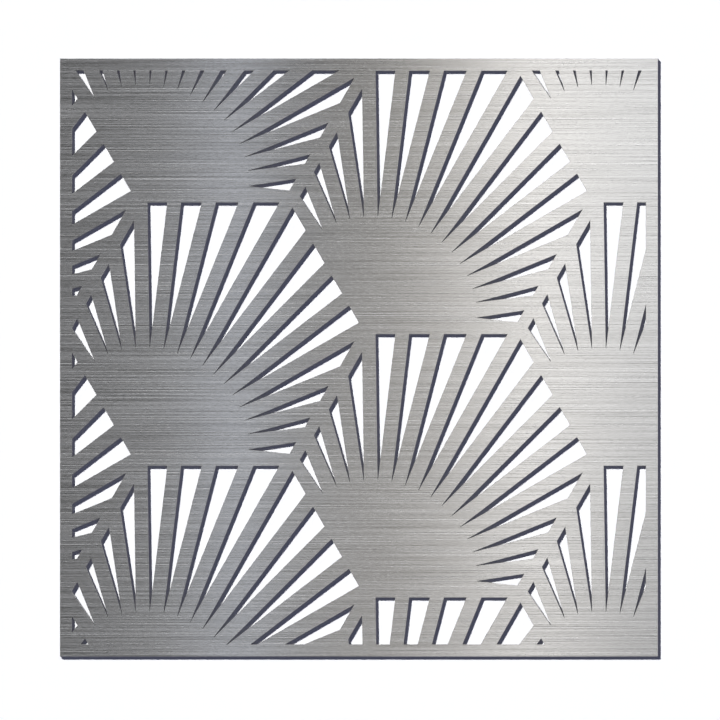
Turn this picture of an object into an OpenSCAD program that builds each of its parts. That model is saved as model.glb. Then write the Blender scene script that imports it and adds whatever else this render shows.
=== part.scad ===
// Decorative metal sheet: a flat square panel with fans of sun rays cut through it.
// The fans sit in a honeycomb of hexagons, one fan to each, and the border crops them.
// The sheet lies flat, its back on Z = 0 and its brushed face up.

/* [Sheet] */

// Width of the sheet, left to right
sheet_w = 600; // [300:1:1500]
// Height of the sheet, bottom to top of the pattern
sheet_h = 600; // [300:1:3000]
// Thickness of the stock
sheet_t = 3; // [1:0.5:8]
// Plain border between the edge of the sheet and the pattern
border = 12; // [6:0.5:60]

/* [Hexagons] */

// Size across flats of the hexagon that holds a fan
hex_flats = 252.3; // [220:0.1:400]
// Plain web between neighbouring hexagons
web = 12; // [5:0.5:40]
// Centre of the first hexagon, to the right of the sheet's centre
first_x = -142.6; // [-300:0.1:300]
// Centre of the first hexagon, above the sheet's centre
first_y = 29.5; // [-300:0.1:300]

/* [Fan] */

// Number of bars in a fan, which has one more ray than bars
bars = 15; // [7:2:17]
// Width of a bar, the same from root to tip
bar_w = 13.8; // [6:0.1:17]
// Heading of the middle bar, clockwise from straight up
fan_heading = 29.65; // [28:0.05:32]
// Angle between the two outermost bars
fan_angle = 106.7; // [90:0.1:110]
// Angle from an outermost bar to the tip of the end ray beside it
end_angle = 4.6; // [3.5:0.1:6]
// Width of a ray at its tip, one laser kerf
tip_w = 0.3; // [0.1:0.1:2]

/* [Hidden] */

steel = [0.66, 0.67, 0.68];

// Hexagon from centre to flat, and from centre to corner
hex_a = hex_flats / 2;
hex_r = hex_flats / sqrt(3);

// Spacing of the hexagons up a column, and of the columns
row_pitch = hex_flats + web;
col_pitch = row_pitch * sqrt(3) / 2;

// Area inside the border
field_w = sheet_w - 2 * border;
field_h = sheet_h - 2 * border;

// Columns of hexagons that reach into that area
first_col = ceil((-field_w / 2 - hex_r - first_x) / col_pitch);
last_col = floor((field_w / 2 + hex_r - first_x) / col_pitch);

// Hexagon corners: the fan's root, and where its two end rays finish
root = hex_r * heading(210);
left_corner = hex_r * heading(270);
right_corner = hex_r * heading(150);

// Angle from one bar to the next
bar_pitch = fan_angle / (bars - 1);

// Distance from the root to the apex of each ray, where the edges of neighbouring bars meet
apex_r = bar_w / 2 / sin(bar_pitch / 2);

// Length that takes a ray's sides past the far corner of its hexagon
reach = 3 * hex_r;

// Unit vector, clockwise from straight up
function heading(a) = [sin(a), cos(a)];

// Unit vector from p to q
function towards(p, q) = (q - p) / norm(q - p);

// Point where the line through p along u meets the line through q along v
function meet(p, u, q, v) = p + u * cross(q - p, v) / cross(u, v);

// Heading of bar k, counted from 1 at the left of the fan
function bar_heading(k) = fan_heading + (k - (bars + 1) / 2) * bar_pitch;

// Point on the edge of bar k: side 1 is its right edge, side -1 its left
function bar_edge(k, side) = root + bar_w / 2 * heading(bar_heading(k) + side * 90);

// Rows of hexagons that reach into the area inside the border, in column c
function first_row(c) = ceil((-field_h / 2 - hex_a - first_y) / row_pitch - c / 2);
function last_row(c) = floor((field_h / 2 + hex_a - first_y) / row_pitch - c / 2);

// Each column stands half a row higher than the one to its left
function hex_centre(c, r) = [first_x + c * col_pitch, first_y + (r + c / 2) * row_pitch];

module hexagon() {
    polygon([for (k = [0:5]) hex_r * heading(30 + 60 * k)]);
}

// Wedge that opens from an apex along two unit vectors, with its point cut off one kerf wide
module wedge(apex, u, v, u_len, v_len) {
    blunt = tip_w / norm(u - v);
    polygon([apex + blunt * u, apex + u_len * u, apex + v_len * v, apex + blunt * v]);
}

// Ray n opens between bars n and n + 1
module ray(n) {
    apex = root + apex_r * heading((bar_heading(n) + bar_heading(n + 1)) / 2);
    wedge(apex, heading(bar_heading(n)), heading(bar_heading(n + 1)), reach, reach);
}

// End ray between the outermost bar k and a corner of the hexagon: side -1 is the left end, 1 the right
module end_ray(k, corner, side) {
    apex = root + apex_r * heading(bar_heading(k) + side * end_angle);
    bar_end = meet(bar_edge(k, side), heading(bar_heading(k)), corner, heading(30));
    wedge(apex, towards(apex, corner), towards(apex, bar_end), norm(corner - apex), reach);
}

module fan() {
    intersection() {
        hexagon();
        union() {
            end_ray(1, left_corner, -1);
            for (n = [1:bars - 1]) ray(n);
            end_ray(bars, right_corner, 1);
        }
    }
}

module pattern() {
    intersection() {
        square([field_w, field_h], center = true);
        for (c = [first_col:last_col], r = [first_row(c):last_row(c)])
            translate(hex_centre(c, r)) fan();
    }
}

module sheet() {
    color(steel)
        linear_extrude(sheet_t)
            difference() {
                square([sheet_w, sheet_h], center = true);
                pattern();
            }
}

sheet();
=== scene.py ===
import math

import bmesh
import bpy
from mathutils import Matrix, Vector


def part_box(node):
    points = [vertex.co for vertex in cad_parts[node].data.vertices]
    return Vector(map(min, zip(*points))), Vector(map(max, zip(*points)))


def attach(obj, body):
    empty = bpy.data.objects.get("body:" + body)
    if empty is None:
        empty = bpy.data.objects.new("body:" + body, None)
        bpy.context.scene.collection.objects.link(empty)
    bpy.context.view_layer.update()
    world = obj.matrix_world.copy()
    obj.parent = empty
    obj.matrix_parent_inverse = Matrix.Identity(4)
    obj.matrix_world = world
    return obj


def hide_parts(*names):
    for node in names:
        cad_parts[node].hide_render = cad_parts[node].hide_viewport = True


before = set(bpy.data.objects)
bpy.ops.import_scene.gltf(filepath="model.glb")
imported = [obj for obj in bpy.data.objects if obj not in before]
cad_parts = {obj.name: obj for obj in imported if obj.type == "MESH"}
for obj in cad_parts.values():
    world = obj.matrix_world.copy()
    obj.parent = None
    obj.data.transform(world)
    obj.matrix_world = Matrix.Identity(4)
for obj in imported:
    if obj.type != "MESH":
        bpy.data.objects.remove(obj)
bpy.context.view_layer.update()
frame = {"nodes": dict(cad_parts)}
sheetLow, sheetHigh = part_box("sheet")
scene = bpy.context.scene
scene.view_settings.view_transform = "Standard"
print("frame loaded, nodes:", ", ".join(frame["nodes"]))


class Wire:
    # one output of a node tree: sums on it add Math nodes, and add() puts in any other node
    def __init__(self, tree, socket=None):
        self.tree = tree
        self.socket = socket

    def feed(self, target, value):
        if isinstance(value, list):  # several links into one socket
            for each in value:
                self.tree.links.new(each.socket, target)
        elif isinstance(value, Wire):
            self.tree.links.new(value.socket, target)
        else:
            target.default_value = value

    def add(self, kind, settings=None, sockets=None, out=0):
        made = self.tree.nodes.new(kind)
        for name, value in (settings or {}).items():
            if name == "stops":
                self.fillRamp(made.color_ramp, value)
            else:
                setattr(made, name, value)
        for key, value in (sockets or {}).items():
            self.feed(made.inputs[key], value)
        return Wire(self.tree, made.outputs[out] if made.outputs else None)

    def fillRamp(self, ramp, stops):
        while len(ramp.elements) < len(stops):
            ramp.elements.new(1.0)
        for element, (place, colour) in zip(ramp.elements, stops):
            element.position = place
            element.color = (*colour, 1.0)

    def math(self, operation, *values):
        return self.add("ShaderNodeMath", {"operation": operation}, dict(enumerate((self, *values))))

    def swapped(self, operation, value):  # for 1 - mask and the like
        return self.add("ShaderNodeMath", {"operation": operation}, {0: value, 1: self})

    def __add__(self, other):
        return self.math("ADD", other)

    def __radd__(self, other):
        return self.swapped("ADD", other)

    def __sub__(self, other):
        return self.math("SUBTRACT", other)

    def __rsub__(self, other):
        return self.swapped("SUBTRACT", other)

    def __mul__(self, other):
        return self.math("MULTIPLY", other)

    def __rmul__(self, other):
        return self.swapped("MULTIPLY", other)

    def __truediv__(self, other):
        return self.math("DIVIDE", other)

    def __rtruediv__(self, other):
        return self.swapped("DIVIDE", other)

    def __gt__(self, other):
        return self.math("GREATER_THAN", other)

    def __lt__(self, other):
        return self.math("LESS_THAN", other)

    def split(self):
        parted = self.add("ShaderNodeSeparateXYZ", None, {0: self}).socket.node
        return [Wire(self.tree, axis) for axis in parted.outputs]

    def joined(self, x, y, z):
        return self.add("ShaderNodeCombineXYZ", None, {"X": x, "Y": y, "Z": z})


def newFinish(name):
    material = bpy.data.materials.new(name)
    material.use_nodes = True
    material.node_tree.nodes.clear()
    wire = Wire(material.node_tree)
    return material, wire, wire.add("ShaderNodeTexCoord", out="Object")


def showFinish(wire, shader):
    wire.add("ShaderNodeOutputMaterial", None, {"Surface": shader})


def grain(wire, place, cell, detail, shift=(0, 0, 0)):
    # stretched noise: cell is the size of one streak in metres, shift picks another part of the noise
    scale = tuple(1 / side for side in cell)
    spread = wire.add("ShaderNodeMapping", None, {"Vector": place, "Location": shift, "Scale": scale})
    fade = 0.6  # strength of each finer layer of noise beside the one before
    sockets = {"Vector": spread, "Scale": 1.0, "Detail": detail, "Roughness": fade}
    return wire.add("ShaderNodeTexNoise", {"noise_dimensions": "3D"}, sockets)


def brushLines(wire, place, long, wide, start, flank):
    # rows that lie exactly along X, each with its own run of light and dark and a weaker flank
    rowGap = 3.7  # far enough apart in the noise that rows share nothing
    x, y = place.split()[:2]
    row = (y / wide).math("FLOOR")
    lines = []
    for step in (0, 1):  # a row and the one beside it
        spot = wire.joined(x / long, (row + step) * rowGap + start, 0)
        noise = wire.add("ShaderNodeTexNoise", {"noise_dimensions": "2D"},
                         {"Vector": spot, "Scale": 1.0, "Detail": 0.0})
        lines.append(noise - 0.5)
    return lines[0] - lines[1] * flank


def scratches(wire, place, look):
    # all of a look's lines together
    return sum(brushLines(wire, place, long, wide, start, look["flank"]) * share
               for long, wide, start, share in look["lines"])


def colourAt(level, look):
    # the look's dark colour at level 0, its light one at 1
    colours = {0: level, 6: (*look["dark"], 1), 7: (*look["light"], 1)}
    return level.add("ShaderNodeMix", {"data_type": "RGBA"}, colours, out=2)


def reliefOf(height, look):
    sockets = {"Strength": 1.0, "Distance": look["relief"], "Height": height}
    return height.add("ShaderNodeBump", None, sockets)


# brushed front of the sheet: the lines of the belt run along X
faceLook = {
    "dark": (0.42, 0.42, 0.42),  # base of a deep line
    "light": (0.86, 0.86, 0.86),  # crest between lines
    "lines": [  # length and width of a scratch, where its rows start, and its share
        (0.600, 0.0008, 0.3, 0.95),
        (0.130, 0.0008, 7.1, 1.4),
        (0.0045, 0.0007, 4.6, 0.75),
        (0.0022, 0.0006, 9.3, 0.50),
    ],
    "flank": 0.4,  # dark side of a scratch beside its light side
    "cloud": {"cell": (1.5, 0.03, 0.05), "detail": 1.0, "shift": (5.9, 5.9, 0)},  # wide soft bands
    "cloudShare": 0.2,
    "contrast": 0.53,
    "scatter": 0.12,  # share of light that the scratches throw about
    "scatterSwing": 0.20,
    "roughness": 0.18,
    "roughnessSwing": -0.02,
    "anisotropic": 1.0,
    "across": (0.015, 1.0, 0.01),  # way the sheen spreads; small X and Z keep it off the rims' normals
    "relief": 0.00005,
}


def brushedFace():
    material, wire, place = newFinish("brushedSteel")
    cloud = grain(wire, place, **faceLook["cloud"]) - 0.5
    streak = cloud * faceLook["cloudShare"] + scratches(wire, place, faceLook)
    level = streak * faceLook["contrast"] + 0.5
    scatter = streak * faceLook["scatterSwing"] + faceLook["scatter"]
    shader = wire.add("ShaderNodeBsdfPrincipled", None, {
        "Base Color": colourAt(level, faceLook),
        "Metallic": 1 - scatter.math("MAXIMUM", 0.0),
        "Roughness": faceLook["roughness"] + streak * faceLook["roughnessSwing"],
        "Normal": reliefOf(level, faceLook),
        "Anisotropic": faceLook["anisotropic"],
        "Tangent": wire.joined(*faceLook["across"]),
    })
    showFinish(wire, shader)
    return material


# walls left by the laser: dull grey with fine upright striations, darker towards the back
wallLook = {
    "dark": (0.11, 0.11, 0.12),
    "light": (0.30, 0.30, 0.31),
    "stroke": {"cell": (0.0005, 0.0005, 0.02), "detail": 2.0},
    "strokeShare": 0.7,  # the rest of the tone follows the height on the wall
    "roughness": 0.42,
    "roughnessSwing": 0.15,
    "metallic": 0.85,
    "relief": 0.00002,
}


def cutWall():
    material, wire, place = newFinish("laserCutSteel")
    stroke = grain(wire, place, **wallLook["stroke"])
    height = place.split()[2] / (sheetHigh.z - sheetLow.z)
    drag = stroke * wallLook["strokeShare"] + height * (1 - wallLook["strokeShare"])
    shader = wire.add("ShaderNodeBsdfPrincipled", None, {
        "Base Color": colourAt(drag, wallLook),
        "Metallic": wallLook["metallic"],
        "Roughness": wallLook["roughness"] + stroke * wallLook["roughnessSwing"],
        "Normal": reliefOf(stroke, wallLook),
    })
    showFinish(wire, shader)
    return material


# unbrushed back: dull mill finish, cloudy, with faint lines along the rolling direction
backLook = {
    "dark": (0.42, 0.42, 0.43),
    "light": (0.66, 0.66, 0.67),
    "cloud": {"cell": (0.16, 0.05, 0.05), "detail": 3.0, "shift": (2.0, 4.0, 0)},
    "cloudShare": 0.9,
    "lines": [(0.800, 0.0040, 2.6, 0.25), (0.200, 0.0016, 5.3, 0.3)],  # in the same order as the front's
    "flank": 0.2,
    "speck": {"cell": (0.003, 0.0015, 0.01), "detail": 2.0},
    "speckShare": 0.4,
    "roughness": 0.36,
    "roughnessSwing": -0.10,
    "relief": 0.00001,
}


def rolledBack():
    material, wire, place = newFinish("rolledSteel")
    cloud = grain(wire, place, **backLook["cloud"]) - 0.5
    speck = grain(wire, place, **backLook["speck"]) - 0.5
    marks = cloud * backLook["cloudShare"] + speck * backLook["speckShare"]
    rolled = marks + scratches(wire, place, backLook)
    level = rolled + 0.5
    shader = wire.add("ShaderNodeBsdfPrincipled", None, {
        "Base Color": colourAt(level, backLook),
        "Metallic": 1.0,
        "Roughness": backLook["roughness"] + rolled * backLook["roughnessSwing"],
        "Normal": reliefOf(level, backLook),
    })
    showFinish(wire, shader)
    return material


# the sheet: fans of rays in a honeycomb, cropped by a plain border
sheetSizes = {
    "Width": sheetHigh.x - sheetLow.x,
    "Height": sheetHigh.y - sheetLow.y,
    "Thickness": sheetHigh.z - sheetLow.z,
    "Border": 0.012,
    "Hexagon Flats": 0.2523,
    "Web": 0.012,  # plain strip between hexagons
    "First Hexagon X": -0.1426,
    "First Hexagon Y": 0.0295,
    "Bars": 15,
    "Bar Width": 0.0138,
    "Fan Heading": math.radians(29.65),  # middle bar, clockwise from straight up
    "Fan Angle": math.radians(106.7),  # between the outermost bars
    "End Angle": math.radians(4.6),  # outermost bar to the tip of the end ray
    "Tip Width": 0.0003,  # one laser kerf
}
cutterDepths = {"ray": 8, "fan": 7, "field": 6}  # in sheet thicknesses, unlike so that no ends meet
rimSizes = {
    "width": 0.00012,  # deburred edges
    "backShare": 0.6,  # smaller at the back
    "segments": 2,
    "sharp": 1.0,  # an edge that turns by more radians is a rim
    "near": 0.01,  # share of the thickness that counts as on the front or back
}


def sheetTree(finishes):
    tree = bpy.data.node_groups.new("rayPanel", "GeometryNodeTree")
    for name, value in sheetSizes.items():
        kind = "NodeSocketInt" if isinstance(value, int) else "NodeSocketFloat"
        tree.interface.new_socket(name, in_out="INPUT", socket_type=kind)
    for name in finishes:
        tree.interface.new_socket(name, in_out="INPUT", socket_type="NodeSocketMaterial")
    tree.interface.new_socket("Sheet", in_out="OUTPUT", socket_type="NodeSocketGeometry")
    start = tree.nodes.new("NodeGroupInput")
    size = {name: Wire(tree, start.outputs[name]) for name in (*sheetSizes, *finishes)}
    wire = Wire(tree)
    place = wire.add("GeometryNodeInputPosition")
    index = wire.add("GeometryNodeInputIndex")

    sin60 = math.sqrt(0.75)
    thick = size["Thickness"]
    barWidth = size["Bar Width"]
    fieldWide = size["Width"] - 2 * size["Border"]
    fieldHigh = size["Height"] - 2 * size["Border"]
    hexCorner = size["Hexagon Flats"] / math.sqrt(3)  # centre to corner
    hexFlat = size["Hexagon Flats"] / 2  # centre to flat
    rowPitch = size["Hexagon Flats"] + size["Web"]
    colPitch = rowPitch * sin60
    barPitch = size["Fan Angle"] / (size["Bars"] - 1)
    halfPitch = barPitch / 2
    apexAway = barWidth / 2 / halfPitch.math("SINE")  # root to where two bars part
    reach = 3 * hexCorner
    root = (hexCorner * -0.5, hexCorner * -sin60)  # the corner that the fan spreads from

    def towards(angle, far, origin):  # a point at that heading, clockwise from straight up
        return origin[0] + far * angle.math("SINE"), origin[1] + far * angle.math("COSINE")

    def unit(origin, goal):
        along = goal[0] - origin[0], goal[1] - origin[1]
        far = (along[0] * along[0] + along[1] * along[1]).math("SQRT")
        return along[0] / far, along[1] / far

    def cross(a, b):
        return a[0] * b[1] - a[1] * b[0]

    def mixed(share, a, b):
        return wire.add("ShaderNodeMix", {"data_type": "VECTOR"}, {0: share, 4: a, 5: b}, out=1)

    def prism(corners, depth):  # near left, near right, far right, far left
        cube = wire.add("GeometryNodeMeshCube", None, {"Size": wire.joined(2, 2, depth)})  # from -1 to 1
        x, y, z = place.split()
        a, b, c, d = [wire.joined(corner[0], corner[1], z) for corner in corners]
        right = (x + 1) / 2
        spot = mixed((y + 1) / 2, mixed(right, a, b), mixed(right, d, c))
        return wire.add("GeometryNodeSetPosition", None, {"Geometry": cube, "Position": spot})

    def cut(operation, first, second):
        sockets = {0: first, 1: second} if operation == "DIFFERENCE" else {1: [first, second]}
        return wire.add("GeometryNodeMeshBoolean", {"operation": operation, "solver": "EXACT"}, sockets)

    def spread(points, shape, turn, keep):
        sockets = {"Points": points, "Instance": shape, "Rotation": turn, "Selection": keep}
        copies = wire.add("GeometryNodeInstanceOnPoints", None, sockets)
        return wire.add("GeometryNodeRealizeInstances", None, {0: copies})

    # one ray, its tip cut off a kerf wide, repeated round the root and cropped by the hexagon
    tipY = apexAway + size["Tip Width"] / 2 / halfPitch.math("TANGENT")
    endX = reach * halfPitch.math("SINE")
    endY = apexAway + reach * halfPitch.math("COSINE")
    tipX = size["Tip Width"] / 2
    outline = [(0 - tipX, tipY), (tipX, tipY), (endX, endY), (0 - endX, endY)]
    ray = prism(outline, thick * cutterDepths["ray"])
    rootPoints = wire.add("GeometryNodePoints", None, {
        "Count": size["Bars"] - 1, "Position": wire.joined(root[0], root[1], 0)})
    rayHeading = size["Fan Heading"] + (index + 1 - size["Bars"] / 2) * barPitch
    rays = spread(rootPoints, ray, wire.joined(0, 0, 0 - rayHeading), True)
    hexagon = wire.add("GeometryNodeMeshCylinder", None, {
        "Vertices": 6, "Radius": hexCorner, "Depth": thick * cutterDepths["fan"]})
    fanParts = [cut("INTERSECT", rays, hexagon)]

    # the two end rays run from the outermost bars to a corner of the hexagon
    flatRun = (0.5, sin60)  # direction of the flats they end on
    leftCorner = (0 - hexCorner, 0)
    rightCorner = (hexCorner * 0.5, hexCorner * -sin60)
    for side, corner in ((-1, leftCorner), (1, rightCorner)):
        barHeading = size["Fan Heading"] + side / 2 * size["Fan Angle"]
        apex = towards(barHeading + side * size["End Angle"], apexAway, root)
        edge = towards(barHeading + side * math.pi / 2, barWidth / 2, root)
        run = barHeading.math("SINE"), barHeading.math("COSINE")
        gap = corner[0] - edge[0], corner[1] - edge[1]
        far = cross(gap, flatRun) / cross(run, flatRun)
        barEnd = edge[0] + run[0] * far, edge[1] + run[1] * far
        toCorner = unit(apex, corner)
        toBar = unit(apex, barEnd)
        apart = toCorner[0] - toBar[0], toCorner[1] - toBar[1]
        blunt = size["Tip Width"] / (apart[0] * apart[0] + apart[1] * apart[1]).math("SQRT")
        nearCorner = apex[0] + toCorner[0] * blunt, apex[1] + toCorner[1] * blunt
        nearBar = apex[0] + toBar[0] * blunt, apex[1] + toBar[1] * blunt
        outline = [nearCorner, nearBar, barEnd, corner]
        if side > 0:
            outline = [nearBar, nearCorner, corner, barEnd]
        fanParts.append(prism(outline, thick * cutterDepths["fan"]))
    fan = wire.add("GeometryNodeJoinGeometry", None, {0: fanParts})

    # honeycomb of fans, each column half a row above the one to its left
    spare = 3  # columns and rows that may be only partly in the field
    colCount = (fieldWide / colPitch).math("CEIL") + spare
    rowCount = (fieldHigh / rowPitch).math("CEIL") + spare
    colStep = (index / rowCount).math("FLOOR")
    firstCol = ((fieldWide / -2 - hexCorner - size["First Hexagon X"]) / colPitch).math("CEIL")
    column = firstCol + colStep
    colFoot = size["First Hexagon Y"] + column / 2 * rowPitch
    firstRow = ((fieldHigh / -2 - hexFlat - colFoot) / rowPitch).math("CEIL")
    hexX = size["First Hexagon X"] + column * colPitch
    hexY = colFoot + (firstRow + index - colStep * rowCount) * rowPitch
    inside = (hexX < fieldWide / 2 + hexCorner) * (hexY < fieldHigh / 2 + hexFlat)
    centres = wire.add("GeometryNodePoints", None, {
        "Count": colCount * rowCount, "Position": wire.joined(hexX, hexY, 0)})
    fans = spread(centres, fan, (0, 0, 0), inside)

    # the border crops the fans, and what is left is cut from the sheet
    field = wire.add("GeometryNodeMeshCube", None, {
        "Size": wire.joined(fieldWide, fieldHigh, thick * cutterDepths["field"])})
    blank = wire.add("GeometryNodeMeshCube", None, {
        "Size": wire.joined(size["Width"], size["Height"], thick)})
    lifted = wire.add("GeometryNodeTransform", None, {
        "Geometry": blank, "Translation": wire.joined(0, 0, thick / 2)})
    panel = cut("DIFFERENCE", lifted, cut("INTERSECT", fans, field))

    # rims of the front and back are eased by the bevel that follows
    rim = wire.add("GeometryNodeInputMeshEdgeAngle") > rimSizes["sharp"]
    level = place.split()[2] / thick
    onBack = level < rimSizes["near"]
    eased = rim * ((level > 1 - rimSizes["near"]) + onBack * rimSizes["backShare"])
    panel = wire.add("GeometryNodeStoreNamedAttribute", {"domain": "EDGE"}, {
        "Geometry": panel, "Name": "bevel_weight_edge", "Value": eased})

    panel = wire.add("GeometryNodeRealizeInstances", None, {0: panel})
    upward = wire.add("GeometryNodeInputNormal").split()[2]
    for name, chosen in (("Wall", True), ("Front", upward > 0.5), ("Back", upward < -0.5)):
        panel = wire.add("GeometryNodeSetMaterial", None, {
            "Geometry": panel, "Selection": chosen, "Material": size[name]})
    tree.links.new(panel.socket, tree.nodes.new("NodeGroupOutput").inputs["Sheet"])
    return tree


# map that the finishes are baked through: front and back take a half each, and all walls share a strip
mapSizes = {
    "name": "OFBake",  # the export looks for a map of this name
    "inset": 0.004,  # kept clear at the sides
    "frontFoot": 0.004,
    "backFoot": 0.492,
    "faceTall": 0.48,
    "wallFoot": 0.978,
    "wallTall": 0.018,
}


def layMap(mesh, finishes):
    # U runs across the brush lines, where the detail is finest and the sheen spreads
    layer = mesh.uv_layers.new(name=mapSizes["name"])
    wide, high, thick = sheetHigh - sheetLow
    for face in mesh.polygons:
        finish = mesh.materials[face.material_index]
        spots = [mesh.vertices[index].co - sheetLow for index in face.vertices]
        run = Vector((-face.normal.y, face.normal.x, 0)).normalized()  # along the foot of a wall
        first = min(spot.dot(run) for spot in spots)
        for loop, spot in zip(face.loop_indices, spots):
            u = spot.y / high
            if finish == finishes["Front"]:
                v = mapSizes["frontFoot"] + mapSizes["faceTall"] * (1 - spot.x / wide)
            elif finish == finishes["Back"]:
                v = mapSizes["backFoot"] + mapSizes["faceTall"] * spot.x / wide
            else:
                u = (spot.dot(run) - first) / wide
                v = mapSizes["wallFoot"] + mapSizes["wallTall"] * spot.z / thick
            layer.uv[loop].vector = (mapSizes["inset"] + u * (1 - 2 * mapSizes["inset"]), v)


def makeSheet():
    finishes = {"Front": brushedFace(), "Wall": cutWall(), "Back": rolledBack()}
    tree = sheetTree(finishes)
    maker = bpy.data.objects.new("sheetMaker", bpy.data.meshes.new("sheetMaker"))
    scene.collection.objects.link(maker)
    nodes = maker.modifiers.new("rays", "NODES")
    nodes.node_group = tree
    values = {**sheetSizes, **finishes}
    for item in tree.interface.items_tree:
        if item.in_out == "INPUT":
            nodes[item.identifier] = values[item.name]
    bevel = maker.modifiers.new("easedEdge", "BEVEL")
    bevel.limit_method = "WEIGHT"
    bevel.width = rimSizes["width"]
    bevel.segments = rimSizes["segments"]
    graph = bpy.context.evaluated_depsgraph_get()
    mesh = bpy.data.meshes.new_from_object(maker.evaluated_get(graph), depsgraph=graph)
    bpy.data.objects.remove(maker)
    mesh.name = "brushedSheet"
    layMap(mesh, finishes)
    piece = bpy.data.objects.new("brushedSheet", mesh)
    scene.collection.objects.link(piece)
    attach(piece, "root")
    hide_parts("sheet")
    print("sheet made:", len(mesh.vertices), "points,", len(mesh.polygons), "faces")


makeSheet()


# plain white floor that the sheet lies on
floorLook = {"side": 14.0, "colour": (1.0, 1.0, 1.0), "below": 0.0002}


def makeFloor():
    half = floorLook["side"] / 2
    level = sheetLow.z - floorLook["below"]
    mesh = bpy.data.meshes.new("floor")
    corners = [(-half, -half, level), (half, -half, level), (half, half, level), (-half, half, level)]
    mesh.from_pydata(corners, [], [(0, 1, 2, 3)])
    floor = bpy.data.objects.new("floor", mesh)
    scene.collection.objects.link(floor)
    material, wire = newFinish("whiteFloor")[:2]
    diffuse = wire.add("ShaderNodeBsdfDiffuse", None, {"Color": (*floorLook["colour"], 1)})
    clear = wire.add("ShaderNodeBsdfTransparent")
    under = wire.add("ShaderNodeNewGeometry", out="Backfacing")  # open from below, to show the back
    showFinish(wire, wire.add("ShaderNodeMixShader", None, {0: under, 1: diffuse, 2: clear}))
    mesh.materials.append(material)
    floor.visible_glossy = False
    print("floor laid")


makeFloor()


# sun from the upper left for the crisp shadow, softbox overhead for the sheen on the front
lightSizes = {
    "sunRun": (0.967, -1.09, -1.0),
    "sunLevel": 5.25,
    "sunAngle": 0.5,
    "boxWide": 1.08,
    "boxHigh": 0.99,
    "boxAbove": 0.7,
    "boxLevel": 1.25,
    "topTones": [
        (0.00, (0.05, 0.05, 0.05)),
        (0.20, (0.05, 0.05, 0.05)),
        (0.30, (0.11, 0.11, 0.11)),
        (0.38, (0.317, 0.332, 0.366)),
        (0.44, (0.06, 0.06, 0.06)),
        (0.48, (0.107, 0.102, 0.093)),
        (0.53, (0.174, 0.165, 0.149)),
        (0.58, (0.382, 0.364, 0.331)),
        (0.68, (1.009, 0.98, 0.941)),
        (0.78, (0.874, 0.87, 0.861)),
        (1.00, (0.8, 0.8, 0.8)),
    ],
    "footTones": [
        (0.00, (0.055, 0.055, 0.055)),
        (0.20, (0.055, 0.055, 0.055)),
        (0.30, (0.155, 0.155, 0.155)),
        (0.38, (0.317, 0.332, 0.366)),
        (0.44, (0.276, 0.276, 0.276)),
        (0.48, (0.288, 0.279, 0.268)),
        (0.53, (0.287, 0.277, 0.264)),
        (0.58, (0.371, 0.36, 0.346)),
        (0.68, (0.608, 0.59, 0.566)),
        (0.78, (0.261, 0.26, 0.257)),
        (1.00, (0.2, 0.2, 0.2)),
    ],
}


def makeLights():
    lamp = bpy.data.lights.new("sun", "SUN")
    lamp.energy = lightSizes["sunLevel"]
    lamp.angle = math.radians(lightSizes["sunAngle"])
    sun = bpy.data.objects.new("sun", lamp)
    run = Vector(lightSizes["sunRun"])
    sun.rotation_euler = run.to_track_quat("-Z", "Y").to_euler()
    sun.location = -run
    sun.visible_glossy = False  # no glints on the eased edges
    scene.collection.objects.link(sun)

    lamp = bpy.data.lights.new("softbox", "AREA")
    lamp.shape = "RECTANGLE"
    lamp.size = lightSizes["boxWide"]
    lamp.size_y = lightSizes["boxHigh"]
    lamp.energy = 4 * lamp.size * lamp.size_y * lightSizes["boxLevel"]  # as bright at any size
    lamp.use_nodes = True
    lamp.node_tree.nodes.clear()
    wire = Wire(lamp.node_tree)
    along, up = wire.add("ShaderNodeNewGeometry", out="Parametric").split()[:2]
    foot = wire.add("ShaderNodeValToRGB", {"stops": lightSizes["footTones"]}, {0: along})
    top = wire.add("ShaderNodeValToRGB", {"stops": lightSizes["topTones"]}, {0: along})
    tone = wire.add("ShaderNodeMix", {"data_type": "RGBA"}, {0: up, 6: foot, 7: top}, out=2)
    glow = wire.add("ShaderNodeEmission", None, {"Color": tone, "Strength": 1.0})
    wire.add("ShaderNodeOutputLight", None, {"Surface": glow})
    box = bpy.data.objects.new("softbox", lamp)
    box.location = (0, 0, lightSizes["boxAbove"])
    box.visible_camera = False
    box.visible_diffuse = False
    scene.collection.objects.link(box)
    print("lights set")


makeLights()


# ring of upright soft panels that only the metal sees, so that its sheen changes from end to end
ringLook = {
    "radius": 1.2,
    "reach": 1.2,  # above and below the floor
    "sides": 48,
    "panels": 6,
    "gap": 0.35,  # tone between two panels beside the tone of a panel
    "stops": [  # from below the floor, which is at the middle, to the top
        (0.00, (0.70, 0.70, 0.70)),
        (0.25, (0.95, 0.95, 0.95)),
        (0.50, (0.80, 0.80, 0.80)),
        (0.56, (1.15, 1.15, 1.15)),
        (0.68, (1.05, 1.05, 1.05)),
        (0.82, (0.60, 0.60, 0.60)),
        (1.00, (0.30, 0.30, 0.30)),
    ],
}


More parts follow.
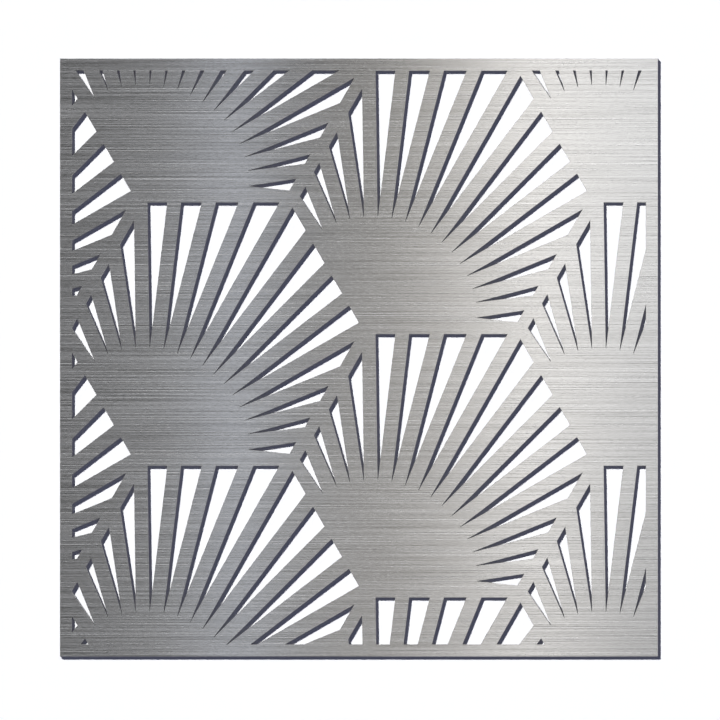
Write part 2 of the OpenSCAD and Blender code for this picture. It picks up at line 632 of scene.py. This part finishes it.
def makeRing():
    mesh = bpy.data.meshes.new("lightRing")
    build = bmesh.new()
    bmesh.ops.create_cone(build, segments=ringLook["sides"], radius1=ringLook["radius"],
                          radius2=ringLook["radius"], depth=2 * ringLook["reach"])
    build.to_mesh(mesh)
    build.free()
    ring = bpy.data.objects.new("lightRing", mesh)
    scene.collection.objects.link(ring)
    material, wire, place = newFinish("panelGlow")
    x, y, z = place.split()
    height = z / (2 * ringLook["reach"]) + 0.5
    tone = wire.add("ShaderNodeValToRGB", {"stops": ringLook["stops"]}, {0: height})
    panel = (y.math("ARCTAN2", x) * ringLook["panels"]).math("COSINE") * 0.5 + 0.5
    level = ringLook["gap"] + panel * (1 - ringLook["gap"])
    showFinish(wire, wire.add("ShaderNodeEmission", None, {"Color": tone, "Strength": level}))
    material.cycles.emission_sampling = "NONE"  # only reflections find it
    mesh.materials.append(material)
    ring.visible_camera = False
    ring.visible_diffuse = False
    ring.visible_transmission = False
    ring.visible_shadow = False
    print("ring set")


makeRing()


# white studio for the camera and for reflections, greyer overhead; a dim blue fill for the shadow
studioLook = {
    "fill": (0.055, 0.060, 0.102),
    "lean": 0.2,  # how far the grey overhead leans to the near side
    "stops": [
        (0.00, (0.35, 0.35, 0.36)),
        (0.30, (0.60, 0.60, 0.61)),
        (0.48, (1.0, 1.0, 1.0)),
        (0.52, (1.0, 1.0, 1.0)),
        (0.62, (0.78, 0.78, 0.78)),
        (0.72, (0.46, 0.46, 0.46)),
        (0.90, (0.13, 0.13, 0.13)),
        (1.00, (0.03, 0.03, 0.03)),
    ],
}


def makeStudio():
    world = bpy.data.worlds.new("studio")
    world.use_nodes = True
    world.node_tree.nodes.clear()
    wire = Wire(world.node_tree)
    back, up = wire.add("ShaderNodeTexCoord", out="Generated").split()[1:]
    height = (up - back * studioLook["lean"]) * 0.5 + 0.5
    tone = wire.add("ShaderNodeValToRGB", {"stops": studioLook["stops"]}, {0: height})
    camera, glossy, through = [wire.add("ShaderNodeLightPath", out=name)
                               for name in ("Is Camera Ray", "Is Glossy Ray", "Is Transmission Ray")]
    fill = wire.add("ShaderNodeBackground", None, {"Color": (*studioLook["fill"], 1), "Strength": 1.0})
    studio = wire.add("ShaderNodeBackground", None, {"Color": tone, "Strength": 1.0})
    white = wire.add("ShaderNodeBackground", None, {"Color": (1, 1, 1, 1), "Strength": 1.0})
    mirrored = (glossy + through).math("MINIMUM", 1.0)
    both = wire.add("ShaderNodeMixShader", None, {0: mirrored, 1: fill, 2: studio})
    both = wire.add("ShaderNodeMixShader", None, {0: camera, 1: both, 2: white})
    wire.add("ShaderNodeOutputWorld", None, {"Surface": both})
    scene.world = world
    print("studio set")


makeStudio()


# camera straight above, far enough back that the walls stay out of sight
cameraSizes = {
    "above": 9.0,
    "frameWide": 0.72249,  # width of the picture at the sheet's front
    "centreX": 0.001094,
    "centreY": -0.00252,
    "sensor": 36.0,
}


def makeCamera():
    data = bpy.data.cameras.new("camera")
    data.sensor_width = cameraSizes["sensor"]
    data.lens = cameraSizes["sensor"] * cameraSizes["above"] / cameraSizes["frameWide"]
    camera = bpy.data.objects.new("camera", data)
    height = sheetHigh.z + cameraSizes["above"]
    camera.location = (cameraSizes["centreX"], cameraSizes["centreY"], height)
    scene.collection.objects.link(camera)
    scene.camera = camera
    print("camera set")


makeCamera()
